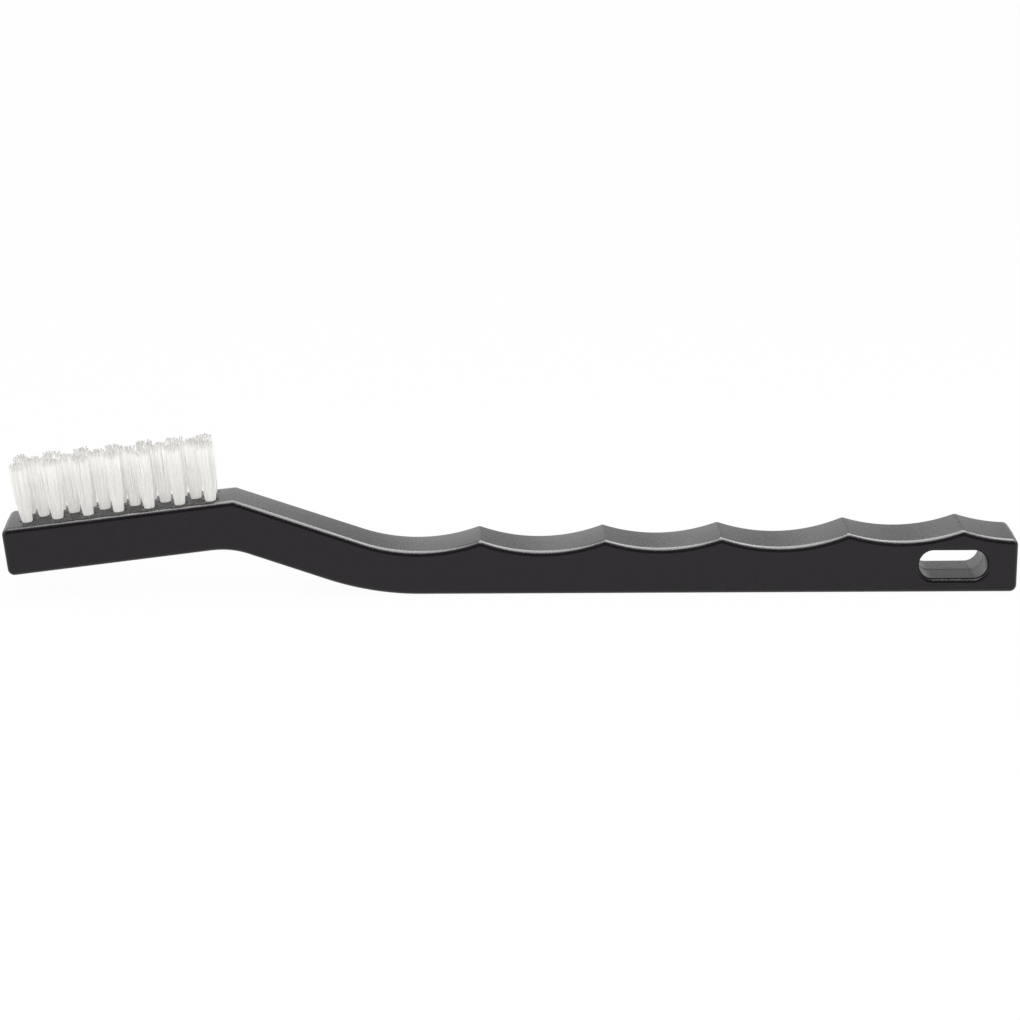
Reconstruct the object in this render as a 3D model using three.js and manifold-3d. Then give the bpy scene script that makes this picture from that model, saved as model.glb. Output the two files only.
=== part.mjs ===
// Utility brush: a bent black handle with a scalloped grip and a hanging slot, and twenty nylon tufts.
// Each tuft is a bundle of strands folded over a flat metal anchor at the bottom of its own blind hole.
// Millimetres, +Z up, +X from the bristle head to the hanging slot.
// The origin lies under the middle of the brush, on the surface that the grip rests on.

import * as THREE from 'three';
import { mergeVertices } from 'three/addons/utils/BufferGeometryUtils.js';
import Module from 'manifold-3d';

const wasm = await Module();
wasm.setup();

// Driving dimensions of the head and its pattern of tufts
const tuftPitch = 5.56;
const rowPitch = 2.5;
const longRowTufts = 7;
const tipMargin = 4.6;
const bendMargin = 4.2;
const headSlope = THREE.MathUtils.degToRad(6.5);
const headThickness = 8.9;

// Driving dimensions of the neck, whose top edge at the bend is the highest point of the handle
const bendHeight = 17.95;
const bendUnderRadius = 15;
const neckSlope = THREE.MathUtils.degToRad(19.2);
const neckThickness = 8.75;
const heelRadius = 52;

// Driving dimensions of the grip: hollows of one radius between crests, and half a hollow at the end
const hollowRadius = 31.5;
const bendToFirstCrest = 44.5;
const firstCrestHeight = 10.2;
const secondCrestRun = 22.6;
const secondCrestRise = 0.05;
const thirdCrestRun = 21.1;
const thirdCrestRise = 0.33;
const fourthCrestRun = 23.1;
const fourthCrestRise = 0.67;
const fifthCrestRun = 20.8;
const fifthCrestRise = 0.5;
const lastCrestToEnd = 10.15;

// Driving dimensions of the plan: the sides run straight from both ends to a waist at the bend
const tipWidth = 12.7;
const waistWall = 1.4;
const endWidth = 12.1;
const edgeRadius = 1;
const sideCornerRadius = 0.25;

// Driving dimensions of the hanging slot, which goes through the grip from side to side
const slotLength = 11.8;
const slotHeight = 5.4;
const slotToEnd = 11.8;
const slotCentreHeight = 5.27;
const slotRimRadius = 0.5;

// Driving dimensions of the tufts, measured from the top of the head along a tuft's own axis
const trimLength = 11.1;
const rootDiameter = 1.9;
const rootTopDepth = 0.5;
const holeClearance = 0.1;
const holeDepth = 5;
const drillPointDepth = 0.5;
const tipGap = 0.9;
const strandsPerTuft = 22;
const strandRadius = 0.13;
const strandInset = 0.16;
const strandRootLength = 0.5;

// Driving dimensions of the anchors, which lie along the head with their ends bitten into the hole's wall
const anchorBite = 0.3;
const anchorHeight = 1.6;
const anchorThickness = 0.3;
const anchorClearance = 0.1;
const foldThickness = 0.8;

// Fineness of the facets
const arcDivisions = 4;
const edgeDivisions = 3;
const slotDivisions = 6;
const holeSides = 12;
const strandSides = 3;
const mergeDistance = 1e-4;
const cutOverrun = 1;

const moulding = new THREE.MeshStandardMaterial({ color: 0x2b2a2c, roughness: 0.42, metalness: 0 });
const nylon = new THREE.MeshStandardMaterial({ color: 0xe8e6e0, roughness: 0.5, metalness: 0 });
const brass = new THREE.MeshStandardMaterial({ color: 0xb5924f, roughness: 0.35, metalness: 1 });

const tuftsLength = (longRowTufts - 1) * tuftPitch;
const headLength = tipMargin + tuftsLength + bendMargin;
const cornerRadius = sideCornerRadius + edgeRadius;
const rootRadius = rootDiameter / 2;
const holeRadius = rootRadius + holeClearance;
const waistWidth = 2 * (rowPitch + holeRadius + waistWall);
const tipDiameter = Math.hypot(tuftPitch / 2, rowPitch) - tipGap;
const anchorLength = 2 * (holeRadius + anchorBite);
const rootBottom = -holeDepth;
const anchorBottom = rootBottom + foldThickness + anchorClearance;
const anchorMiddle = anchorBottom + anchorHeight / 2;
const goldenAngle = Math.PI * (3 - Math.sqrt(5));

// Solids for the cuts and joins

function toSolid(geometry) {
  const bare = geometry.clone();
  bare.deleteAttribute('normal');
  bare.deleteAttribute('uv');
  const merged = mergeVertices(bare, mergeDistance);
  const corners = merged.index.array;
  const kept = [];
  for (let i = 0; i < corners.length; i += 3) {
    const [a, b, c] = corners.slice(i, i + 3);
    if (a !== b && b !== c && c !== a) kept.push(a, b, c);
  }
  const vertProperties = new Float32Array(merged.attributes.position.array);
  const triVerts = new Uint32Array(kept);
  return new wasm.Manifold(new wasm.Mesh({ numProp: 3, vertProperties, triVerts }));
}

function toGeometry(solid) {
  const mesh = solid.getMesh();
  const geometry = new THREE.BufferGeometry();
  geometry.setAttribute('position', new THREE.BufferAttribute(mesh.vertProperties, 3));
  geometry.setIndex(new THREE.BufferAttribute(mesh.triVerts, 1));
  return geometry;
}

// Side outline of the handle, drawn in X and Z with the top of the bend above x = 0

function lineAt(point, slope) {
  return { point, direction: new THREE.Vector2(Math.cos(slope), Math.sin(slope)) };
}

function crossing(first, second) {
  const between = second.point.clone().sub(first.point);
  const along = between.cross(second.direction) / first.direction.cross(second.direction);
  return first.point.clone().addScaledVector(first.direction, along);
}

function roundCorner(path, before, corner, after, radius) {
  const back = before.clone().sub(corner).normalize();
  const ahead = after.clone().sub(corner).normalize();
  const halfAngle = back.angleTo(ahead) / 2;
  const reach = radius / Math.tan(halfAngle);
  const centre = back.clone().add(ahead).setLength(radius / Math.sin(halfAngle)).add(corner);
  const from = corner.clone().addScaledVector(back, reach).sub(centre);
  const to = corner.clone().addScaledVector(ahead, reach).sub(centre);
  path.absarc(centre.x, centre.y, radius, from.angle(), to.angle(), back.cross(ahead) > 0);
}

function hollowBetween(path, right, left) {
  const middle = right.clone().add(left).multiplyScalar(0.5);
  const halfChord = right.distanceTo(left) / 2;
  const up = right.clone().sub(left).normalize().rotateAround(new THREE.Vector2(), Math.PI / 2);
  const centre = middle.addScaledVector(up, Math.sqrt(hollowRadius ** 2 - halfChord ** 2));
  const from = right.clone().sub(centre).angle();
  const to = left.clone().sub(centre).angle();
  path.absarc(centre.x, centre.y, hollowRadius, from, to, true);
}

// The first hollow runs from the first crest until it is tangent to the top of the neck.
function hollowToNeck(path, crest, neckTop) {
  const normal = neckTop.direction.clone().rotateAround(new THREE.Vector2(), Math.PI / 2);
  const offset = crest.clone().sub(neckTop.point);
  const lift = offset.dot(normal) - hollowRadius;
  const along = offset.dot(neckTop.direction) - Math.sqrt(hollowRadius ** 2 - lift ** 2);
  const centre = neckTop.point.clone().addScaledVector(neckTop.direction, along);
  centre.addScaledVector(normal, hollowRadius);
  const from = crest.clone().sub(centre).angle();
  path.absarc(centre.x, centre.y, hollowRadius, from, normal.negate().angle(), true);
}

// The half hollow past the last crest is as steep there as a hollow between two crests.
function tailCentre(lastCrest, crestBefore) {
  const halfRun = (lastCrest.x - crestBefore.x) / 2;
  const lift = Math.sqrt(hollowRadius ** 2 - halfRun ** 2);
  return new THREE.Vector2(lastCrest.x + halfRun, lastCrest.y + lift);
}

function gripCrests() {
  const steps = [
    new THREE.Vector2(secondCrestRun, secondCrestRise),
    new THREE.Vector2(thirdCrestRun, thirdCrestRise),
    new THREE.Vector2(fourthCrestRun, fourthCrestRise),
    new THREE.Vector2(fifthCrestRun, fifthCrestRise),
  ];
  const crests = [new THREE.Vector2(bendToFirstCrest, firstCrestHeight)];
  for (const step of steps) crests.push(crests.at(-1).clone().add(step));
  return crests;
}

const bendTop = new THREE.Vector2(0, bendHeight);
const crests = gripCrests();
const gripEnd = crests.at(-1).x + lastCrestToEnd;

function handleOutline() {
  const floor = lineAt(new THREE.Vector2(), 0);
  const headTop = lineAt(bendTop, headSlope);
  const neckTop = lineAt(bendTop, -neckSlope);
  const headUnder = lineAt(new THREE.Vector2(0, bendHeight - headThickness / Math.cos(headSlope)), headSlope);
  const neckUnder = lineAt(new THREE.Vector2(0, bendHeight - neckThickness / Math.cos(neckSlope)), -neckSlope);

  const tipTop = bendTop.clone().addScaledVector(headTop.direction, -headLength);
  const tipUnder = crossing(headUnder, lineAt(tipTop, headSlope + Math.PI / 2));
  const bendUnder = crossing(headUnder, neckUnder);
  const heel = crossing(neckUnder, floor);
  const endUnder = new THREE.Vector2(gripEnd, 0);

  const tail = tailCentre(crests.at(-1), crests.at(-2));
  const tailStop = gripEnd - cornerRadius;
  const tailSlope = Math.asin((tailStop - tail.x) / hollowRadius);
  const tailPoint = new THREE.Vector2(tailStop, tail.y - hollowRadius * Math.cos(tailSlope));
  const endTop = crossing(lineAt(tailPoint, tailSlope), lineAt(endUnder, Math.PI / 2));

  const outline = new THREE.Shape();
  roundCorner(outline, bendTop, tipTop, tipUnder, cornerRadius);
  roundCorner(outline, tipTop, tipUnder, bendUnder, cornerRadius);
  roundCorner(outline, tipUnder, bendUnder, heel, bendUnderRadius);
  roundCorner(outline, bendUnder, heel, endUnder, heelRadius);
  roundCorner(outline, heel, endUnder, endTop, cornerRadius);
  roundCorner(outline, endUnder, endTop, tailPoint, cornerRadius);
  const lastCrestAngle = crests.at(-1).clone().sub(tail).angle();
  outline.absarc(tail.x, tail.y, hollowRadius, tailSlope + 1.5 * Math.PI, lastCrestAngle, true);
  for (let i = crests.length - 1; i > 0; i -= 1) {
    hollowBetween(outline, crests[i], crests[i - 1]);
  }
  hollowToNeck(outline, crests[0], neckTop);
  outline.lineTo(bendTop.x, bendTop.y);
  return outline;
}

// The handle

const tipReach = headLength * Math.cos(headSlope);

function widthAt(x) {
  if (x < 0) return THREE.MathUtils.mapLinear(x, -tipReach, 0, tipWidth, waistWidth);
  return THREE.MathUtils.mapLinear(x, 0, gripEnd, waistWidth, endWidth);
}

function waisted(solid, fullWidth) {
  const geometry = toGeometry(solid);
  const position = geometry.attributes.position;
  for (let i = 0; i < position.count; i += 1) {
    position.setY(i, position.getY(i) * widthAt(position.getX(i)) / fullWidth);
  }
  return toSolid(geometry);
}

// The outline is extruded with rounded edges, parted at the bend and drawn in to the waist on both sides of it.
function handleBlank() {
  const fullWidth = Math.max(tipWidth, waistWidth, endWidth);
  const depth = fullWidth - 2 * edgeRadius;
  const blank = new THREE.ExtrudeGeometry(handleOutline(), {
    depth,
    curveSegments: arcDivisions,
    bevelThickness: edgeRadius,
    bevelSize: edgeRadius,
    bevelOffset: -edgeRadius,
    bevelSegments: edgeDivisions,
  });
  blank.rotateX(Math.PI / 2);
  blank.translate(0, depth / 2, 0);
  const [grip, head] = toSolid(blank).splitByPlane([1, 0, 0], 0);
  return waisted(grip, fullWidth).add(waisted(head, fullWidth));
}

// The slot's tool flares at both mouths, which leaves the rims rounded.
function slotTool() {
  const centre = gripEnd - slotToEnd;
  const mouthRadius = slotHeight / 2 + slotRimRadius;
  const straight = (slotLength - slotHeight) / 2;
  const mouth = new THREE.Shape();
  mouth.absarc(straight, 0, mouthRadius, -Math.PI / 2, Math.PI / 2, false);
  mouth.absarc(-straight, 0, mouthRadius, Math.PI / 2, 1.5 * Math.PI, false);
  const depth = widthAt(centre + straight + mouthRadius) - 2 * slotRimRadius;
  const tool = new THREE.ExtrudeGeometry(mouth, {
    depth,
    curveSegments: slotDivisions,
    bevelThickness: slotRimRadius,
    bevelSize: -slotRimRadius,
    bevelSegments: edgeDivisions,
  });
  tool.rotateX(Math.PI / 2);
  tool.translate(centre, depth / 2, slotCentreHeight);
  return toSolid(tool);
}

// Places in the head's own frame: x = 0 at the bend, z = 0 on top of the head

const rows = [
  { name: 'front', across: -rowPitch, count: longRowTufts, stagger: 0 },
  { name: 'middle', across: 0, count: longRowTufts - 1, stagger: tuftPitch / 2 },
  { name: 'back', across: rowPitch, count: longRowTufts, stagger: 0 },
];

function tuftPlaces() {
  const places = [];
  for (const row of rows) {
    for (let i = 0; i < row.count; i += 1) {
      const x = tipMargin + row.stagger + i * tuftPitch - headLength;
      places.push({ label: `${row.name}_${i + 1}`, x, y: row.across });
    }
  }
  return places;
}

const places = tuftPlaces();
const head = new THREE.Group();
head.position.set(bendTop.x, 0, bendTop.y);
head.rotation.y = -headSlope;
head.updateMatrix();

function revolved(profile, divisions) {
  const geometry = new THREE.LatheGeometry(profile.getPoints(divisions), holeSides);
  geometry.rotateX(Math.PI / 2);
  return geometry;
}

// A drilled hole with its point, and the slit that the anchor cut in the hole's wall on its way down
function holeTool() {
  const profile = new THREE.Path();
  profile.moveTo(0, -holeDepth - drillPointDepth);
  profile.lineTo(holeRadius, -holeDepth);
  profile.lineTo(holeRadius, cutOverrun);
  profile.lineTo(0, cutOverrun);
  const bottom = anchorBottom - anchorClearance;
  const slit = new THREE.BoxGeometry(
    anchorLength + 2 * anchorClearance,
    anchorThickness + 2 * anchorClearance,
    cutOverrun - bottom,
  );
  slit.translate(0, 0, (cutOverrun + bottom) / 2);
  return toSolid(revolved(profile, 1)).add(toSolid(slit));
}

function drilledHead() {
  const tool = toGeometry(holeTool());
  const tools = places.map(({ x, y }) => toSolid(tool.clone().translate(x, y, 0).applyMatrix4(head.matrix)));
  return wasm.Manifold.union(tools);
}

function makeHandle() {
  const solid = handleBlank().subtract(slotTool()).subtract(drilledHead());
  const handle = new THREE.Mesh(toGeometry(solid), moulding);
  handle.name = 'handle';
  return handle;
}

// The tufts

// The strands' folded middle: a plug with a domed bottom and a window that the anchor passes through
function tuftRoot() {
  const profile = new THREE.Path();
  profile.absellipse(0, rootBottom + foldThickness, rootRadius, foldThickness, -Math.PI / 2, 0, false);
  profile.lineTo(rootRadius, -rootTopDepth);
  profile.lineTo(0, -rootTopDepth);
  const window = new THREE.BoxGeometry(
    rootDiameter + 2 * cutOverrun,
    anchorThickness + 2 * anchorClearance,
    anchorHeight + 2 * anchorClearance,
  );
  window.translate(0, 0, anchorMiddle);
  return toSolid(revolved(profile, 1)).subtract(toSolid(window));
}

// A strand leans out from the tuft's middle and is trimmed level with the others.
function strand(index, turn) {
  const start = -rootTopDepth - strandRootLength;
  const length = trimLength - start;
  const reach = (rootRadius - strandInset) * Math.sqrt((index + 0.5) / strandsPerTuft);
  const angle = turn + index * goldenAngle;
  const x = reach * Math.cos(angle);
  const y = reach * Math.sin(angle);
  const lean = (tipDiameter - rootDiameter) / (rootDiameter * length);
  const prism = new THREE.CylinderGeometry(strandRadius, strandRadius, length, strandSides);
  prism.rotateX(Math.PI / 2);
  prism.rotateZ(angle);
  prism.translate(0, 0, length / 2);
  prism.applyMatrix4(new THREE.Matrix4().set(
    1, 0, lean * x, x,
    0, 1, lean * y, y,
    0, 0, 1, start,
    0, 0, 0, 1,
  ));
  return toSolid(prism);
}

function makeTuft({ label, x, y }, turn) {
  const strands = Array.from({ length: strandsPerTuft }, (_, index) => strand(index, turn));
  const solid = wasm.Manifold.union([tuftRoot(), ...strands]);
  const tuft = new THREE.Mesh(toGeometry(solid), nylon);
  tuft.name = `tuft_${label}`;
  tuft.position.set(x, y, 0);
  return tuft;
}

// The anchors

function makeAnchor({ label, x, y }) {
  const plate = new THREE.BoxGeometry(anchorLength, anchorThickness, anchorHeight);
  const anchor = new THREE.Mesh(plate, brass);
  anchor.name = `anchor_${label}`;
  anchor.position.set(x, y, anchorMiddle);
  return anchor;
}

// The assembly, moved along X so that its origin lies under its middle

places.forEach((place, index) => {
  head.add(makeTuft(place, index));
  head.add(makeAnchor(place));
});

const brush = new THREE.Group();
const handle = makeHandle();
handle.geometry.computeBoundingBox();
brush.add(handle, head);
brush.position.x = -handle.geometry.boundingBox.getCenter(new THREE.Vector3()).x;

export default brush;
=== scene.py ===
"""Builds and dresses a utility brush: a bent moulded handle with twenty tufts of white nylon."""

import math
import random

import bmesh
import bpy
from bpy.props import FloatProperty, FloatVectorProperty, IntProperty, PointerProperty
from mathutils import Matrix, Vector


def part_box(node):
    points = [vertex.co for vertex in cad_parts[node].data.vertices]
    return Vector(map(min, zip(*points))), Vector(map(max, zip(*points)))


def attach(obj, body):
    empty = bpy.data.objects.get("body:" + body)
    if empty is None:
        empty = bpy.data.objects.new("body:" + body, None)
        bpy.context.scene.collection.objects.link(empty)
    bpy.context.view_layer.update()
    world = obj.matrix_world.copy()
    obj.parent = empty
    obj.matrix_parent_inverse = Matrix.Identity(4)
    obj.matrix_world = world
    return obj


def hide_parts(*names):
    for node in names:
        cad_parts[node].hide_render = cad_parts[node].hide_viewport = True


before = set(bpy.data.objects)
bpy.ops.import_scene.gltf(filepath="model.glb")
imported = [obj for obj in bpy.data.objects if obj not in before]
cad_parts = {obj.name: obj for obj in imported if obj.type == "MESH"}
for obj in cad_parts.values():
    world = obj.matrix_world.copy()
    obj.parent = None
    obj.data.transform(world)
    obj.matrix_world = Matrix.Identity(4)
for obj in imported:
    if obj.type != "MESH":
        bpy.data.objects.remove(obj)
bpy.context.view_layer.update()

bl_info = {
    "name": "Utility Brush",
    "version": (1, 0, 0),
    "blender": (4, 5, 0),
    "location": "View3D > Sidebar > Brush",
    "description": "Models a bent utility brush with a scalloped grip and tufts set on metal anchors",
    "category": "Mesh",
}

MM = 0.001
HANDLE_LOW, HANDLE_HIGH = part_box("handle")
ANCHOR_NODES = sorted(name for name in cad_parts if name.startswith("anchor_"))
X_AXIS = Vector((1, 0, 0))
Y_AXIS = Vector((0, 1, 0))
Z_AXIS = Vector((0, 0, 1))

# Points nearer than this are one point
WELD = 1e-7
# How far a cutting tool reaches past the surface that it cuts
CUT_OVERRUN = 1 * MM

# Straight steps that each curve is drawn in
CORNER_STEPS = 8
BEND_STEPS = 10
HEEL_STEPS = 16
NECK_STEPS = 32
HOLLOW_STEPS = 24
TAIL_STEPS = 12
CREST_STEPS = 6
EDGE_STEPS = 8
SLOT_END_STEPS = 24
RIM_STEPS = 6
DRILL_STEPS = 32
BRISTLE_SIDES = 5

# A face is a flat side if its normal has more of Y than the first, and rim if less than the second
SIDE_FACING = 0.9
RIM_FACING = 0.5
# A vertex is on the top if its normal has more of Z than this
TOP_FACING = 0.5
# Edges that turn by more than this stay sharp
SHARP_TURN = math.radians(32)

# Each flank of the slot's flash line is this many times wider than high
FLASH_RUN = 4
# How far the slot's rim turns before it runs straight out past the handle's side
RIM_TURN = math.radians(80)

# Heights of a bristle's points over the head, as shares of its length
BRISTLE_SHARES = (1, 0.6, 0.35, 0.2, 0.1, 0.04, 0)
# Share of the anchor's gap that the bundle closes again at the hole's mouth
MOUTH_CLOSING = 0.8
# Where the fold's points between its sides and its bottom lie, as a share of its radius
FOLD_SHARE = 0.7

# The camera: its sensor in millimetres, and the nearest thing that it sees in metres
SENSOR_WIDTH = 36
CLIP_START = 0.01

# The floor: half its side in metres, its grey where it lights the brush, and how it shows to the camera
FLOOR_REACH = 3
FLOOR_MATT = "e6e6e6"
FLOOR_SHADED = "454545"
FLOOR_GLOW = 0.952

# The dark room in front: the way to it, the cosines between which it fades in, and its level
ROOM_WAY = (0, -0.94, 0.34)
ROOM_EDGE = (0.62, 0.85)
ROOM_LEVEL = 0.05
# The wall that the brush mirrors: from one X of a direction to another, and from one level to another
WALL_LEFT = ((-0.03, 0.12), (1.25, 0.7))
WALL_RIGHT = ((0.13, 0.22), (0.0, 0.15))
AMBIENT_LEVEL = 0.57

# Softboxes: name, place and size in metres, and radiance
# The plain ones light only matt surfaces, and the glare ones show only in glossy ones
PLAIN_BOXES = (
    ("overhead", (0, -0.1, 0.55), (0.4, 0.4), 0.5),
    ("front", (0, -0.6, 0.25), (0.6, 0.4), 3.55),
)
GLARE_BOXES = (
    ("overhead_glare", (0.06, 0.14, 0.55), (0.44, 0.72), 12.0),
    ("left_glare", (-0.36, 0.14, 0.5), (0.36, 0.72), 3.5),
    ("right_glare", (0.4, 0.14, 0.5), (0.36, 0.5), 9.0),
)
# The point that every softbox faces
BOX_AIM = Vector((0, 0, 0.01))
# The collection of pieces that the plain boxes shine through
SHEER = "sheer_pieces"


def linear(code):
    """Turns an sRGB hex colour into linear red, green, blue and alpha."""
    channels = [int(code[i:i + 2], 16) / 255 for i in (0, 2, 4)]
    return [c / 12.92 if c <= 0.04045 else ((c + 0.055) / 1.055) ** 2.4 for c in channels] + [1.0]


# Settings that a user would change

def length(name, description, millimetres):
    return FloatProperty(
        name=name, description=description, default=millimetres * MM, unit="LENGTH", precision=5)


def angle(name, description, degrees):
    return FloatProperty(name=name, description=description, default=math.radians(degrees), subtype="ANGLE")


def colour(name, description, code):
    return FloatVectorProperty(
        name=name, description=description, default=linear(code), size=4, subtype="COLOR")


class HandleSizes(bpy.types.PropertyGroup):
    """Sizes of the moulded handle, whose bend is the highest edge of its top."""

    bend_height: length("Bend height", "Height of the bend's top edge over the floor", 17.95)
    bend_under_radius: length("Bend radius", "Radius under the bend", 15)
    head_slope: angle("Head slope", "How far the head drops from the bend to the tip", 6.5)
    head_thickness: length("Head thickness", "Thickness of the head, square to its top", 8.9)
    neck_slope: angle("Neck slope", "How far the neck drops from the bend to the grip", 19.2)
    neck_thickness: length("Neck thickness", "Thickness of the neck, square to its top", 8.75)
    heel_radius: length("Heel radius", "Radius where the neck's underside meets the grip's", 52)
    hollow_radius: length("Hollow radius", "Radius of the finger hollows along the grip", 31.5)
    first_crest: length("First crest", "Distance from the bend to the first crest", 44.5)
    first_crest_height: length("First crest height", "Height of the first crest over the floor", 10.2)
    second_run: length("Second run", "Distance from the first crest to the second", 22.6)
    second_rise: length("Second rise", "Rise from the first crest to the second", 0.05)
    third_run: length("Third run", "Distance from the second crest to the third", 21.1)
    third_rise: length("Third rise", "Rise from the second crest to the third", 0.33)
    fourth_run: length("Fourth run", "Distance from the third crest to the fourth", 23.1)
    fourth_rise: length("Fourth rise", "Rise from the third crest to the fourth", 0.67)
    fifth_run: length("Fifth run", "Distance from the fourth crest to the fifth", 20.8)
    fifth_rise: length("Fifth rise", "Rise from the fourth crest to the fifth", 0.5)
    last_run: length("Last run", "Distance from the fifth crest to the end", 10.15)
    tip_width: length("Tip width", "Width across the head's tip", 12.7)
    waist_width: length("Waist width", "Width across the bend", 9.9)
    end_width: length("End width", "Width across the grip's end", 12.1)
    corner_radius: length(
        "Corner radius", "Radius of the tip's and the end's corners, seen from the side", 1.25)
    edge_radius: length("Edge radius", "Radius of the long edges", 1.0)
    crest_round: length("Crest rounding", "How far each crest's rounding reaches down its two slopes", 0.4)
    parting_lift: length("Parting lift", "How far the mould's draft lifts the top's middle line", 0.2)


class SlotSizes(bpy.types.PropertyGroup):
    """Sizes of the hanging slot through the grip's end."""

    slot_length: length("Length", "Length of the slot at its narrowest", 12.3)
    slot_height: length("Height", "Height of the slot at its narrowest", 5.1)
    to_end: length("To the end", "Distance from the slot's middle to the grip's end", 11.7)
    centre_height: length("Centre height", "Height of the slot's middle over the floor", 5.27)
    draft: angle("Draft", "How far the slot opens from its middle to its mouths", 0.2)
    rim: length("Rim radius", "Radius of the rounded rims of both mouths", 0.8)
    flash: length("Flash", "Height of the thin line where the mould's halves met", 0.1)


class TuftSizes(bpy.types.PropertyGroup):
    """Sizes of one tuft of bristles, its hole and the fold round its anchor."""

    trim: length("Trim length", "Length of the longest bristles over the head", 11.1)
    bristle: length("Bristle diameter", "Diameter of one nylon filament", 0.22)
    spacing: length("Bristle spacing", "Distance between filaments beside the anchor", 0.215)
    root_radius: length("Root radius", "Radius of the bundle in its hole", 0.92)
    tip_radius: length("Tip radius", "Radius that the bundle fans out to", 1.42)
    hole_radius: length("Hole radius", "Radius of the drilled hole", 1.05)
    hole_depth: length("Hole depth", "Depth of the hole without its drill point", 5.0)
    drill_point: length("Drill point", "Depth of the hole's conical bottom", 0.5)
    slit_clearance: length("Slit clearance", "Room round the anchor in the slit that it cuts", 0.1)
    anchor_gap: length(
        "Anchor gap", "Least distance from a filament's middle to the anchor's middle plane", 0.26)
    uneven: length("Uneven trim", "How much shorter than the longest a bristle may be", 0.8)
    stray: length("Stray", "How far a tip may wander sideways", 0.26)
    lean: length("Lean", "How far a whole tuft's tips may sit to one side", 0.22)
    flare: FloatProperty(
        name="Flare", description="How soon over its hole a bundle reaches its spread", default=2.8)
    seed: IntProperty(name="Seed", description="Seed of the bristles' small differences", default=7)


class Finishes(bpy.types.PropertyGroup):
    """Colours of the finishes."""

    polypropylene: colour("Polypropylene", "The handle's moulded black", "0c070c")
    polypropylene_fleck: colour("Fleck", "The handle's paler flecks", "161116")
    nylon: colour("Nylon", "The bristles' white", "f1f0ed")
    # Painted shade: the grey of the cut tips stands in for the shadow among the bristles' ends
    nylon_tip_shade: colour("Cut tip", "The bristles' greyer cut ends", "d4d2cf")
    brass: colour("Brass", "The anchors' yellow metal", "c39a4e")
    floor: colour("Floor", "The studio floor", "ffffff")


class StageSettings(bpy.types.PropertyGroup):
    """The camera and the studio."""

    azimuth: angle("Azimuth", "Turn of the camera round the brush", -1.3)
    elevation: angle("Elevation", "Height of the camera over the horizon", 16.7)
    distance: length("Distance", "Distance from the camera to the point that it looks at", 573)
    lens: FloatProperty(name="Lens", description="Focal length in millimetres", default=111.05)
    target: FloatVectorProperty(
        name="Target", description="The point that the camera looks at", subtype="XYZ", unit="LENGTH",
        default=(-0.25 * MM, 0, 14.53 * MM))


class BrushSettings(bpy.types.PropertyGroup):
    """Everything that shapes and dresses the brush."""

    handle: PointerProperty(type=HandleSizes)
    slot: PointerProperty(type=SlotSizes)
    tuft: PointerProperty(type=TuftSizes)
    finishes: PointerProperty(type=Finishes)
    stage: PointerProperty(type=StageSettings)


# Small helpers for meshes and objects

def finish_mesh(bm, name):
    """Turns a bmesh into a linked object of that name, at the origin."""
    mesh = bpy.data.meshes.new(name)
    bm.to_mesh(mesh)
    bm.free()
    piece = bpy.data.objects.new(name, mesh)
    bpy.context.scene.collection.objects.link(piece)
    return piece


def cut_away(piece, tool):
    """Subtracts a closed tool from a piece and removes the tool."""
    cut = piece.modifiers.new("Cut", "BOOLEAN")
    cut.operation = "DIFFERENCE"
    cut.solver = "EXACT"
    cut.object = tool
    depsgraph = bpy.context.evaluated_depsgraph_get()
    mesh = bpy.data.meshes.new_from_object(piece.evaluated_get(depsgraph))
    piece.modifiers.remove(cut)
    uncut = piece.data
    piece.data = mesh
    mesh.name = uncut.name
    bpy.data.meshes.remove(uncut)
    tool_mesh = tool.data
    bpy.data.objects.remove(tool)
    bpy.data.meshes.remove(tool_mesh)


def new_verts(made):
    return [element for element in made["geom"] if isinstance(element, bmesh.types.BMVert)]


def upright(point):
    """Stands a point of the side view up in the XZ plane."""
    return Vector((point.x, 0, point.y))


# The handle's side view: 2-D points in X and Z, with the bend's top over x = 0

class OutlinePen:
    """Draws a chain of edges by extruding and spinning its last vertex."""

    def __init__(self, bm, start):
        self.bm = bm
        self.first = bmesh.ops.create_vert(bm, co=upright(start))["vert"][0]
        self.last = self.first

    def line(self, point):
        self.last = bmesh.ops.extrude_vert_indiv(self.bm, verts=[self.last])["verts"][0]
        self.last.co = upright(point)

    def arc(self, centre, turn, steps):
        """Goes round a centre, anticlockwise where the turn is positive."""
        made = bmesh.ops.spin(
            self.bm, geom=[self.last], cent=upright(centre), axis=Y_AXIS, angle=-turn, steps=steps)
        self.last = next(e for e in made["geom_last"] if isinstance(e, bmesh.types.BMVert))

    def corner(self, corner, after, radius, steps):
        """Runs on to a corner and round it, towards the point after it."""
        before = Vector((self.last.co.x, self.last.co.z))
        back = (before - corner).normalized()
        ahead = (after - corner).normalized()
        half = back.angle(ahead) / 2
        middle = corner + (back + ahead).normalized() * (radius / math.sin(half))
        self.line(corner + back * (radius / math.tan(half)))
        turn = math.pi - 2 * half
        self.arc(middle, -turn if back.cross(ahead) > 0 else turn, steps)

    def hollow(self, point, radius, steps):
        """Sags to a point that lies to the left, round a centre above both."""
        before = Vector((self.last.co.x, self.last.co.z))
        chord = before - point
        rise = math.sqrt(radius ** 2 - (chord.length / 2) ** 2)
        centre = (before + point) / 2 + Vector((-chord.y, chord.x)).normalized() * rise
        self.arc(centre, -2 * math.asin(chord.length / 2 / radius), steps)

    def close(self):
        self.bm.edges.new((self.last, self.first))


def heading(slope):
    return Vector((math.cos(slope), math.sin(slope)))


def crossing(first, first_slope, second, second_slope):
    """The point where two lines meet, each through a point at a slope."""
    direction = heading(second_slope)
    along = (second - first).cross(direction) / heading(first_slope).cross(direction)
    return first + heading(first_slope) * along


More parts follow.
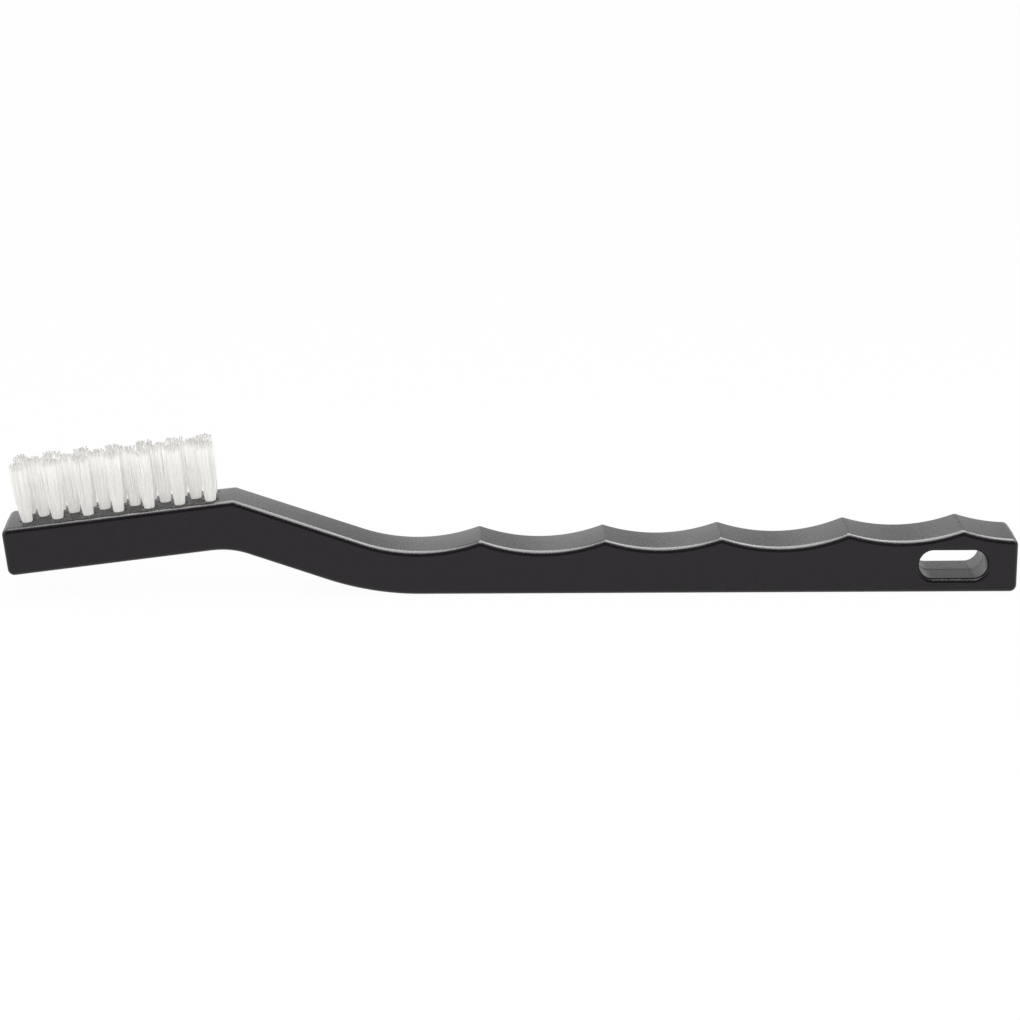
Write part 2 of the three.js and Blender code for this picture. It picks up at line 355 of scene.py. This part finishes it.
def crest_points(sizes):
    steps = [
        (sizes.first_crest, sizes.first_crest_height),
        (sizes.second_run, sizes.second_rise),
        (sizes.third_run, sizes.third_rise),
        (sizes.fourth_run, sizes.fourth_rise),
        (sizes.fifth_run, sizes.fifth_rise),
    ]
    crests = [Vector((0, 0))]
    for step in steps:
        crests.append(crests[-1] + Vector(step))
    return crests[1:]


def bend_place(sizes):
    """X of the bend, counted back from the frame's end of the grip."""
    return HANDLE_HIGH.x - crest_points(sizes)[-1].x - sizes.last_run


def head_matrix(sizes):
    """The head's own frame: x = 0 at the bend, z = 0 on top of the head."""
    turned = Matrix.Rotation(-sizes.head_slope, 4, "Y")
    return Matrix.Translation((bend_place(sizes), 0, sizes.bend_height)) @ turned


def trace_outline(bm, sizes):
    """Draws the side view as a ring of edges, from the bend round the head, the underside and the grip."""
    crests = crest_points(sizes)
    end_x = crests[-1].x + sizes.last_run
    bend = Vector((0, sizes.bend_height))
    bend_x = bend_place(sizes)
    reach = (bend_x - HANDLE_LOW.x) / math.cos(sizes.head_slope)
    tip_top = bend - heading(sizes.head_slope) * reach
    head_under = bend - Vector((0, sizes.head_thickness / math.cos(sizes.head_slope)))
    neck_under = bend - Vector((0, sizes.neck_thickness / math.cos(sizes.neck_slope)))
    tip_slope = sizes.head_slope + math.pi / 2
    tip_under = crossing(head_under, sizes.head_slope, tip_top, tip_slope)
    bend_under = crossing(head_under, sizes.head_slope, neck_under, -sizes.neck_slope)
    heel = crossing(neck_under, -sizes.neck_slope, Vector((0, 0)), 0)
    end_under = Vector((end_x, 0))

    half_run = (crests[-1].x - crests[-2].x) / 2
    tail_lift = math.sqrt(sizes.hollow_radius ** 2 - half_run ** 2)
    tail = crests[-1] + Vector((half_run, tail_lift))
    tail_stop = end_x - sizes.corner_radius
    tail_slope = math.asin((tail_stop - tail.x) / sizes.hollow_radius)
    tail_point = tail + Vector((math.sin(tail_slope), -math.cos(tail_slope))) * sizes.hollow_radius
    end_top = crossing(tail_point, tail_slope, end_under, math.pi / 2)

    pen = OutlinePen(bm, bend)
    pen.corner(tip_top, tip_under, sizes.corner_radius, CORNER_STEPS)
    pen.corner(tip_under, bend_under, sizes.corner_radius, CORNER_STEPS)
    pen.corner(bend_under, heel, sizes.bend_under_radius, BEND_STEPS)
    pen.corner(heel, end_under, sizes.heel_radius, HEEL_STEPS)
    pen.corner(end_under, end_top, sizes.corner_radius, CORNER_STEPS)
    pen.corner(end_top, tail_point, sizes.corner_radius, CORNER_STEPS)
    pen.line(tail_point)
    tail_start = math.asin((crests[-1].x - tail.x) / sizes.hollow_radius)
    pen.arc(tail, tail_start - tail_slope, TAIL_STEPS)
    for crest in reversed(crests[:-1]):
        pen.hollow(crest, sizes.hollow_radius, HOLLOW_STEPS)

    normal = heading(math.pi / 2 - sizes.neck_slope)
    offset = crests[0] - bend
    lift = offset.dot(normal) - sizes.hollow_radius
    along = offset.dot(heading(-sizes.neck_slope)) - math.sqrt(sizes.hollow_radius ** 2 - lift ** 2)
    centre = bend + heading(-sizes.neck_slope) * along + normal * sizes.hollow_radius
    steepness = math.asin((crests[0].x - centre.x) / sizes.hollow_radius)
    pen.arc(centre, -steepness - sizes.neck_slope, NECK_STEPS)
    pen.close()
    tops = [vert for vert in bm.verts if any((vert.co - upright(crest)).length < WELD for crest in crests)]
    bmesh.ops.bevel(
        bm, geom=tops, offset=sizes.crest_round, offset_type="OFFSET", affect="VERTICES",
        segments=CREST_STEPS, profile=0.5, material=-1)


def half_width_at(x, sizes):
    """Half the handle's width, which narrows in straight lines from both ends to the bend."""
    bend_x = bend_place(sizes)
    if x < bend_x:
        share = (bend_x - x) / (bend_x - HANDLE_LOW.x)
        return (sizes.waist_width + (sizes.tip_width - sizes.waist_width) * share) / 2
    share = (x - bend_x) / (HANDLE_HIGH.x - bend_x)
    return (sizes.waist_width + (sizes.end_width - sizes.waist_width) * share) / 2


def whole(bm):
    return bm.verts[:] + bm.edges[:] + bm.faces[:]


def side_edges(bm):
    """Edges between a flat side and the handle's rim."""
    found = []
    for edge in bm.edges:
        across = sorted(abs(face.normal.y) for face in edge.link_faces)
        if across[0] < RIM_FACING and across[1] > SIDE_FACING:
            found.append(edge)
    return found


def handle_blank(sizes):
    """Extrudes the side view, draws it in to the waist and lifts its parting line."""
    bm = bmesh.new()
    trace_outline(bm, sizes)
    side = bmesh.ops.contextual_create(bm, geom=bm.edges[:])["faces"]
    # Half the blank's width is 1 until it is multiplied by the handle's
    made = bmesh.ops.extrude_face_region(bm, geom=side)
    bmesh.ops.translate(bm, verts=new_verts(made), vec=Y_AXIS * 2)
    bmesh.ops.translate(bm, verts=bm.verts[:], vec=-Y_AXIS)
    bmesh.ops.recalc_face_normals(bm, faces=bm.faces[:])
    for plane in (X_AXIS, Y_AXIS):
        bmesh.ops.bisect_plane(bm, geom=whole(bm), dist=WELD, plane_co=(0, 0, 0), plane_no=plane)
    bm.normal_update()
    middle = [vert for vert in bm.verts if abs(vert.co.y) < WELD and vert.normal.z > TOP_FACING]
    bmesh.ops.translate(bm, verts=middle, vec=Z_AXIS * sizes.parting_lift)
    bmesh.ops.translate(bm, verts=bm.verts[:], vec=X_AXIS * bend_place(sizes))
    for vert in bm.verts:
        vert.co.y *= half_width_at(vert.co.x, sizes)
    return bm


def round_edges(bm, edges, radius, segments):
    bmesh.ops.bevel(
        bm, geom=edges, offset=radius, offset_type="OFFSET", affect="EDGES", segments=segments,
        profile=0.5, material=-1, clamp_overlap=False)
    bm.normal_update()


def slot_steps(slot, half_width):
    """How far the slot has opened at each depth below the handle's side, from its middle outwards."""
    rim = slot.rim
    flash = slot.flash
    wall = flash + (half_width - rim) * math.tan(slot.draft)
    steps = [(flash, half_width - flash * FLASH_RUN)]
    for i in range(RIM_STEPS + 1):
        turn = RIM_TURN * i / RIM_STEPS
        steps.append((wall + rim * (1 - math.cos(turn)), rim * (1 - math.sin(turn))))
    grow, depth = steps[-1]
    steps.append((grow + (depth + CUT_OVERRUN) * math.tan(RIM_TURN), -CUT_OVERRUN))
    return steps


def slot_tool(sizes, slot):
    """A bar with round ends that widens from a thin flash line in its middle to both mouths."""
    middle = HANDLE_HIGH.x - slot.to_end
    radius = slot.slot_height / 2
    straight = slot.slot_length / 2 - radius
    bm = bmesh.new()
    pen = OutlinePen(bm, Vector((straight, -radius)))
    pen.arc(Vector((straight, 0)), math.pi, SLOT_END_STEPS)
    pen.line(Vector((-straight, radius)))
    pen.arc(Vector((-straight, 0)), math.pi, SLOT_END_STEPS)
    pen.close()
    ring = bm.edges[:]
    for side in (-1, 1):
        edges = ring
        for grow, depth in slot_steps(slot, half_width_at(middle, sizes)):
            made = bmesh.ops.extrude_edge_only(bm, edges=edges)
            verts = new_verts(made)
            for vert in verts:
                hub = Vector((math.copysign(straight, vert.co.x), 0, 0))
                spoke = Vector((vert.co.x - hub.x, 0, vert.co.z)).normalized()
                vert.co = hub + spoke * (radius + grow)
                vert.co.y = side * (half_width_at(middle + vert.co.x, sizes) - depth)
            edges = [edge for edge in bm.edges if set(edge.verts) <= set(verts)]
        bmesh.ops.contextual_create(bm, geom=edges)
    bmesh.ops.translate(bm, verts=bm.verts[:], vec=(middle, 0, slot.centre_height))
    bmesh.ops.recalc_face_normals(bm, faces=bm.faces[:])
    return finish_mesh(bm, "slot_tool")


def anchor_boxes():
    return {name.removeprefix("anchor_"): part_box(name) for name in ANCHOR_NODES}


def anchor_size(label, sizes):
    """An anchor's length, thickness and height in the head's frame, from its box in the sloping head."""
    low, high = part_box(f"anchor_{label}")
    across = high - low
    cosine, sine = math.cos(sizes.head_slope), math.sin(sizes.head_slope)
    turned = cosine ** 2 - sine ** 2
    long = (across.x * cosine - across.z * sine) / turned
    tall = (across.z * cosine - across.x * sine) / turned
    return Vector((long, across.y, tall))


def tuft_places(sizes):
    """Each tuft's place in the head's frame, taken from the middle of its anchor."""
    to_head = head_matrix(sizes).inverted()
    return {label: to_head @ ((low + high) / 2) for label, (low, high) in anchor_boxes().items()}


def drills(sizes, tuft):
    """Drills with conical points, one at each tuft."""
    bm = bmesh.new()
    profile = [
        Vector((0, 0, -tuft.hole_depth - tuft.drill_point)),
        Vector((tuft.hole_radius, 0, -tuft.hole_depth)),
        Vector((tuft.hole_radius, 0, CUT_OVERRUN)),
        Vector((0, 0, CUT_OVERRUN)),
    ]
    for place in tuft_places(sizes).values():
        axis = Vector((place.x, place.y, 0))
        verts = [bmesh.ops.create_vert(bm, co=axis + point)["vert"][0] for point in profile]
        edges = [bm.edges.new(pair) for pair in zip(verts, verts[1:])]
        bmesh.ops.spin(
            bm, geom=verts + edges, cent=axis, axis=Z_AXIS, angle=math.tau, steps=DRILL_STEPS, use_merge=True)
    bmesh.ops.remove_doubles(bm, verts=bm.verts[:], dist=WELD)
    bmesh.ops.transform(bm, matrix=head_matrix(sizes), verts=bm.verts[:])
    bmesh.ops.recalc_face_normals(bm, faces=bm.faces[:])
    return finish_mesh(bm, "drills")


def slit_tools(sizes, tuft):
    """Blades that leave the slits which the anchors cut in the holes' walls on their way down."""
    bm = bmesh.new()
    for label, place in tuft_places(sizes).items():
        size = anchor_size(label, sizes)
        bottom = place.z - size.z / 2 - tuft.slit_clearance
        room = 2 * tuft.slit_clearance
        blade = Vector((size.x + room, size.y + room, CUT_OVERRUN - bottom))
        middle = Vector((place.x, place.y, (CUT_OVERRUN + bottom) / 2))
        bmesh.ops.create_cube(bm, size=1, matrix=Matrix.Translation(middle) @ Matrix.Diagonal(blade).to_4x4())
    bmesh.ops.transform(bm, matrix=head_matrix(sizes), verts=bm.verts[:])
    return finish_mesh(bm, "slit_tools")


def smooth_by_angle(piece, limit):
    """Shades a piece smooth, with sharp edges where it turns by more than the limit."""
    bm = bmesh.new()
    bm.from_mesh(piece.data)
    for face in bm.faces:
        face.smooth = True
    for edge in bm.edges:
        edge.smooth = edge.calc_face_angle(0) < limit
    bm.to_mesh(piece.data)
    bm.free()
    weighted = piece.modifiers.new("Weighted normals", "WEIGHTED_NORMAL")
    weighted.keep_sharp = True


class BRUSH_OT_handle(bpy.types.Operator):
    """Models the moulded handle with its hollows, its slot and its drilled head."""

    bl_idname = "utility_brush.handle"
    bl_label = "Moulded Handle"

    def execute(self, context):
        settings = context.scene.utility_brush
        sizes = settings.handle
        bm = handle_blank(sizes)
        bm.normal_update()
        round_edges(bm, side_edges(bm), sizes.edge_radius, EDGE_STEPS)
        piece = finish_mesh(bm, "moulded_handle")
        cut_away(piece, slot_tool(sizes, settings.slot))
        cut_away(piece, drills(sizes, settings.tuft))
        cut_away(piece, slit_tools(sizes, settings.tuft))
        smooth_by_angle(piece, SHARP_TURN)
        piece.data.materials.clear()
        piece.data.materials.append(moulded_polypropylene(settings.finishes))
        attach(piece, "root")
        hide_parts("handle")
        return {"FINISHED"}


# The tufts

def folded_pairs(tuft):
    """Places beside the anchor where a filament goes down, in a close-packed half circle."""
    places = []
    row = 0
    while True:
        y = tuft.anchor_gap + row * tuft.spacing * math.sqrt(3) / 2
        if y > tuft.root_radius:
            return places
        half = math.sqrt(tuft.root_radius ** 2 - y ** 2)
        shift = tuft.spacing / 2 * (row % 2)
        count = int((half - shift) / tuft.spacing)
        for i in range(-count - row % 2, count + 1):
            places.append(Vector((i * tuft.spacing + shift, y)))
        row += 1


def wander(draw, reach):
    """A small random step sideways."""
    return Vector((draw.uniform(-1, 1), draw.uniform(-1, 1))) * reach


def filament_path(place, tuft, lean, fold_height, anchor_top, draw):
    """Points of one folded filament, from one trimmed tip, round under the anchor, to the other tip."""
    squeeze = tuft.root_radius / (tuft.root_radius - tuft.anchor_gap)
    fan = tuft.tip_radius / tuft.root_radius
    halves = []
    for side in (1, -1):
        mouth = Vector((place.x, side * (place.y - tuft.anchor_gap * MOUTH_CLOSING) * squeeze))
        tip = mouth * fan + lean + wander(draw, tuft.stray)
        top = tuft.trim - draw.random() * tuft.uneven
        half = []
        for share in BRISTLE_SHARES:
            spot = mouth.lerp(tip, 1 - (1 - share) ** tuft.flare)
            half.append(Vector((spot.x, spot.y, share * top)))
        half.append(Vector((place.x, side * place.y, anchor_top)))
        half.append(Vector((place.x, side * place.y, fold_height)))
        halves.append(half)
    part = place.y * FOLD_SHARE
    under = [
        Vector((place.x, part, fold_height - part)),
        Vector((place.x, 0, fold_height - place.y)),
        Vector((place.x, -part, fold_height - part)),
    ]
    return halves[0] + under + halves[1][::-1]


def sweep(bm, path, radius, sides, tone, layers):
    """Extrudes a small circle along a path, from cap to cap, and marks its tone and its two cut tips."""
    direction = (path[1] - path[0]).normalized()
    turn = direction.to_track_quat("Z", "Y").to_matrix().to_4x4()
    ring = bmesh.ops.create_circle(
        bm, cap_ends=True, radius=radius, segments=sides, matrix=Matrix.Translation(path[0]) @ turn)["verts"]
    face = ring[0].link_faces[0]
    for vert in ring:
        vert[layers["tone"]] = tone
        vert[layers["tip"]] = 1.0
    for index in range(1, len(path)):
        ahead = path[min(index + 1, len(path) - 1)] - path[index - 1]
        bend = direction.rotation_difference(ahead.normalized()).to_matrix().to_4x4()
        direction = ahead.normalized()
        made = bmesh.ops.extrude_discrete_faces(bm, faces=[face])
        face = made["faces"][0]
        verts = face.verts[:]
        move = Matrix.Translation(path[index]) @ bend @ Matrix.Translation(-path[index - 1])
        bmesh.ops.transform(bm, matrix=move, verts=verts)
        at_tip = 1.0 if index == len(path) - 1 else 0.0
        for vert in verts:
            vert[layers["tone"]] = tone
            vert[layers["tip"]] = at_tip


def let_light_through(piece):
    """Adds a piece to those which the plain lamps shine through, as they do through nylon."""
    group = bpy.data.collections[SHEER]
    group.objects.link(piece)
    group.collection_objects[-1].light_linking.link_state = "EXCLUDE"


class BRUSH_OT_tufts(bpy.types.Operator):
    """Folds the nylon filaments of every tuft round its anchor and fans them out over the head."""

    bl_idname = "utility_brush.tufts"
    bl_label = "Nylon Tufts"

    def execute(self, context):
        settings = context.scene.utility_brush
        sizes = settings.handle
        tuft = settings.tuft
        nylon = drawn_nylon(settings.finishes)
        to_head = head_matrix(sizes)
        pairs = folded_pairs(tuft)
        for order, (label, place) in enumerate(sorted(tuft_places(sizes).items())):
            draw = random.Random(tuft.seed + order)
            half_height = anchor_size(label, sizes).z / 2
            fold_height = place.z - half_height
            anchor_top = place.z + half_height
            bm = bmesh.new()
            layers = {
                "tone": bm.verts.layers.float.new("tone"),
                "tip": bm.verts.layers.float.new("tip"),
            }
            lean = wander(draw, tuft.lean)
            for pair in pairs:
                path = filament_path(pair, tuft, lean, fold_height, anchor_top, draw)
                sweep(bm, path, tuft.bristle / 2, BRISTLE_SIDES, draw.random(), layers)
            stand = to_head @ Matrix.Translation((place.x, place.y, 0))
            bmesh.ops.transform(bm, matrix=stand, verts=bm.verts[:])
            for face in bm.faces:
                face.smooth = len(face.verts) == 4
            piece = finish_mesh(bm, f"nylon_tuft_{label}")
            piece.data.materials.append(nylon)
            let_light_through(piece)
            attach(piece, "root")
            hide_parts(f"tuft_{label}")
        return {"FINISHED"}


class BRUSH_OT_anchors(bpy.types.Operator):
    """Gives the flat anchors at the bottom of the holes their rolled brass."""

    bl_idname = "utility_brush.anchors"
    bl_label = "Brass Anchors"

    def execute(self, context):
        brass = rolled_brass(context.scene.utility_brush.finishes)
        for name in ANCHOR_NODES:
            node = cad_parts[name]
            for slot in node.material_slots:
                slot.material = brass
        return {"FINISHED"}


# Finishes

def add_node(owner, kind, inputs=None, **settings):
    """Adds a node with its settings, and sets or links its inputs."""
    tree = owner.node_tree
    node = tree.nodes.new(kind)
    for name, value in settings.items():
        setattr(node, name, value)
    for name, value in (inputs or {}).items():
        if isinstance(value, bpy.types.NodeSocket):
            tree.links.new(value, node.inputs[name])
        else:
            node.inputs[name].default_value = value
    return node


def ramp(owner, value, before, after):
    """A socket that goes from one level to another as a value goes over a range."""
    node = add_node(owner, "ShaderNodeMapRange", {
        "Value": value, "From Min": before[0], "From Max": before[1], "To Min": after[0], "To Max": after[1]})
    return node.outputs["Result"]


def mix_colours(owner, factor, first, second):
    """A socket that goes from the first colour to the second; a Mix node's colour sockets go by number."""
    node = add_node(owner, "ShaderNodeMix", {0: factor, 6: first, 7: second}, data_type="RGBA")
    return node.outputs[2]


def bare_material(name):
    material = bpy.data.materials.new(name)
    material.use_nodes = True
    material.node_tree.nodes.clear()
    return material


def per_metre(millimetres):
    """Scale of a pattern whose features have that size."""
    return 1 / (millimetres * MM)


def moulded_polypropylene(finishes):
    # Black polypropylene from a spark-eroded mould: a satin skin with fine grain and faint paler flecks
    material = bare_material("moulded_polypropylene")
    place = add_node(material, "ShaderNodeTexCoord")
    fleck = add_node(material, "ShaderNodeTexNoise", {
        "Vector": place.outputs["Object"], "Scale": per_metre(0.9), "Detail": 4.0, "Roughness": 0.7})
    shade = mix_colours(
        material, fleck.outputs["Fac"], finishes.polypropylene, finishes.polypropylene_fleck)
    grain = add_node(material, "ShaderNodeTexNoise", {
        "Vector": place.outputs["Object"], "Scale": per_metre(0.35), "Detail": 3.0, "Roughness": 0.6})
    skin = ramp(material, grain.outputs["Fac"], (0.3, 0.7), (0.24, 0.34))
    bump = add_node(material, "ShaderNodeBump", {
        "Height": grain.outputs["Fac"], "Strength": 0.25, "Distance": 0.02 * MM})
    shader = add_node(material, "ShaderNodeBsdfPrincipled", {
        "Base Color": shade, "Roughness": skin, "Normal": bump.outputs["Normal"], "IOR": 1.49,
        "Specular IOR Level": 0.34})
    add_node(material, "ShaderNodeOutputMaterial", {"Surface": shader.outputs["BSDF"]})
    return material


def drawn_nylon(finishes):
    # Drawn white nylon filament: milky and a little glossy along its length, and greyer towards its cut tips,
    # which is painted shade for the shadow among the ends
    material = bare_material("drawn_nylon")
    tip = add_node(material, "ShaderNodeAttribute", attribute_name="tip")
    tone = add_node(material, "ShaderNodeAttribute", attribute_name="tone")
    # Painted shade: the colour greys towards each cut tip
    tip_shade_share = ramp(material, tip.outputs["Fac"], (0.8, 1.0), (0.0, 1.0))
    cut = mix_colours(material, tip_shade_share, finishes.nylon, finishes.nylon_tip_shade)
    dim = ramp(material, tone.outputs["Fac"], (0.0, 1.0), (0.9, 1.0))
    shade = add_node(material, "ShaderNodeVectorMath", {0: cut, "Scale": dim}, operation="SCALE")
    shader = add_node(material, "ShaderNodeBsdfPrincipled", {
        "Base Color": shade.outputs["Vector"], "Roughness": 0.5, "IOR": 1.53, "Specular IOR Level": 0.3,
        "Subsurface Weight": 0.4, "Subsurface Radius": (1.0, 1.0, 1.0), "Subsurface Scale": 0.3 * MM})
    add_node(material, "ShaderNodeOutputMaterial", {"Surface": shader.outputs["BSDF"]})
    return material


def rolled_brass(finishes):
    # Brass strip chopped into anchors: bright, with fine rolling lines along it
    material = bare_material("rolled_brass")
    place = add_node(material, "ShaderNodeTexCoord")
    stretch = add_node(material, "ShaderNodeMapping", {
        "Vector": place.outputs["Object"], "Scale": (0.1, 1.0, 1.0)})
    lines = add_node(material, "ShaderNodeTexNoise", {
        "Vector": stretch.outputs["Vector"], "Scale": per_metre(0.08), "Detail": 3.0})
    polish = ramp(material, lines.outputs["Fac"], (0.3, 0.7), (0.22, 0.4))
    bump = add_node(material, "ShaderNodeBump", {
        "Height": lines.outputs["Fac"], "Strength": 0.2, "Distance": 0.01 * MM})
    shader = add_node(material, "ShaderNodeBsdfPrincipled", {
        "Base Color": finishes.brass, "Metallic": 1.0, "Roughness": polish, "Normal": bump.outputs["Normal"]})
    add_node(material, "ShaderNodeOutputMaterial", {"Surface": shader.outputs["BSDF"]})
    return material


# The stage

class BRUSH_OT_stage(bpy.types.Operator):
    """Sets up the camera, the pale floor and the soft studio light."""

    bl_idname = "utility_brush.stage"
    bl_label = "Studio"

    def execute(self, context):
        scene = context.scene
        settings = scene.utility_brush
        scene.view_settings.view_transform = "Standard"
        self.place_camera(scene, settings.stage)
        self.lay_floor(scene, settings.finishes)
        self.light(scene, settings.finishes)
        return {"FINISHED"}

    def place_camera(self, scene, stage):
        lens = bpy.data.cameras.new("camera")
        lens.lens = stage.lens
        lens.sensor_width = SENSOR_WIDTH
        lens.clip_start = CLIP_START
        camera = bpy.data.objects.new("camera", lens)
        turn = Matrix.Rotation(stage.azimuth, 4, "Z") @ Matrix.Rotation(math.pi / 2 - stage.elevation, 4, "X")
        back = Matrix.Translation((0, 0, stage.distance))
        camera.matrix_world = Matrix.Translation(stage.target) @ turn @ back
        scene.collection.objects.link(camera)
        scene.camera = camera

    def lay_floor(self, scene, finishes):
        """A matt white floor, which the camera and reflections see as plain white with a faint shadow."""
        bm = bmesh.new()
        bmesh.ops.create_grid(bm, x_segments=1, y_segments=1, size=FLOOR_REACH)
        floor = finish_mesh(bm, "floor")
        material = bare_material("studio_floor")
        matt = add_node(material, "ShaderNodeBsdfDiffuse", {"Color": linear(FLOOR_MATT)})
        shade = add_node(material, "ShaderNodeBsdfDiffuse", {"Color": linear(FLOOR_SHADED)})
        white = add_node(material, "ShaderNodeEmission", {"Color": finishes.floor, "Strength": FLOOR_GLOW})
        shown = add_node(material, "ShaderNodeAddShader", {
            0: shade.outputs["BSDF"], 1: white.outputs["Emission"]})
        mixed = add_node(material, "ShaderNodeMixShader", {
            0: self.seen(material), 1: matt.outputs["BSDF"], 2: shown.outputs["Shader"]})
        add_node(material, "ShaderNodeOutputMaterial", {"Surface": mixed.outputs["Shader"]})
        floor.data.materials.append(material)

    def seen(self, owner):
        """A socket that is 1 for what the camera sees, also in a reflection or through a clear thing."""
        path = add_node(owner, "ShaderNodeLightPath")
        mirrored = add_node(owner, "ShaderNodeMath", {
            0: path.outputs["Is Glossy Ray"], 1: path.outputs["Is Transmission Ray"]}, operation="MAXIMUM")
        either = add_node(owner, "ShaderNodeMath", {
            0: path.outputs["Is Camera Ray"], 1: mirrored.outputs["Value"]}, operation="MAXIMUM")
        return either.outputs["Value"]

    def light(self, scene, finishes):
        """White all round, but for a dark room in front of the brush, and five softboxes."""
        world = bpy.data.worlds.new("studio")
        world.use_nodes = True
        world.node_tree.nodes.clear()
        way = add_node(world, "ShaderNodeTexCoord").outputs["Generated"]
        room = add_node(world, "ShaderNodeVectorMath", {0: way, 1: ROOM_WAY}, operation="DOT_PRODUCT")
        dark = ramp(world, room.outputs["Value"], ROOM_EDGE, (1.0, ROOM_LEVEL))
        across = add_node(world, "ShaderNodeSeparateXYZ", {"Vector": way}).outputs["X"]
        left = ramp(world, across, *WALL_LEFT)
        right = ramp(world, across, *WALL_RIGHT)
        wall = add_node(world, "ShaderNodeMath", {0: left, 1: right}, operation="ADD")
        mirrored = add_node(world, "ShaderNodeMath", {
            0: dark, 1: wall.outputs["Value"]}, operation="MULTIPLY")
        path = add_node(world, "ShaderNodeLightPath")
        strength = add_node(world, "ShaderNodeMix", {
            0: path.outputs["Is Camera Ray"], 2: mirrored.outputs["Value"], 3: 1.0})
        ambient = add_node(world, "ShaderNodeBackground", {
            "Color": finishes.floor, "Strength": AMBIENT_LEVEL})
        white = add_node(world, "ShaderNodeBackground", {
            "Color": finishes.floor, "Strength": strength.outputs[0]})
        shown = add_node(world, "ShaderNodeMixShader", {
            0: self.seen(world), 1: ambient.outputs["Background"], 2: white.outputs["Background"]})
        add_node(world, "ShaderNodeOutputWorld", {"Surface": shown.outputs["Shader"]})
        scene.world = world
        sheer = bpy.data.collections.new(SHEER)
        for settings in PLAIN_BOXES:
            box = self.softbox(scene, *settings)
            box.visible_glossy = False
            box.light_linking.blocker_collection = sheer
        for settings in GLARE_BOXES:
            box = self.softbox(scene, *settings)
            box.visible_diffuse = False

    def softbox(self, scene, name, place, size, radiance):
        """An area lamp that faces the brush and that the camera doesn't see."""
        lamp = bpy.data.lights.new(name, "AREA")
        lamp.shape = "RECTANGLE"
        lamp.size, lamp.size_y = size
        lamp.energy = math.pi * radiance * size[0] * size[1]
        box = bpy.data.objects.new(name, lamp)
        facing = (BOX_AIM - Vector(place)).to_track_quat("-Z", "Y")
        box.matrix_world = Matrix.Translation(place) @ facing.to_matrix().to_4x4()
        box.visible_camera = False
        scene.collection.objects.link(box)
        return box


class BRUSH_PT_panel(bpy.types.Panel):
    """Lists the steps that build the brush."""

    bl_idname = "BRUSH_PT_panel"
    bl_label = "Utility Brush"
    bl_space_type = "VIEW_3D"
    bl_region_type = "UI"
    bl_category = "Brush"

    def draw(self, context):
        column = self.layout.column()
        for step in STEPS:
            column.operator(step.bl_idname)


STEPS = (BRUSH_OT_stage, BRUSH_OT_handle, BRUSH_OT_tufts, BRUSH_OT_anchors)
GROUPS = (HandleSizes, SlotSizes, TuftSizes, Finishes, StageSettings, BrushSettings)
CLASSES = GROUPS + STEPS + (BRUSH_PT_panel,)


def register():
    for cls in CLASSES:
        bpy.utils.register_class(cls)
    bpy.types.Scene.utility_brush = PointerProperty(type=BrushSettings)


def unregister():
    del bpy.types.Scene.utility_brush
    for cls in reversed(CLASSES):
        bpy.utils.unregister_class(cls)


def main():
    register()
    bpy.ops.utility_brush.stage()
    bpy.ops.utility_brush.handle()
    bpy.ops.utility_brush.tufts()
    bpy.ops.utility_brush.anchors()


if __name__ == "__main__":
    main()
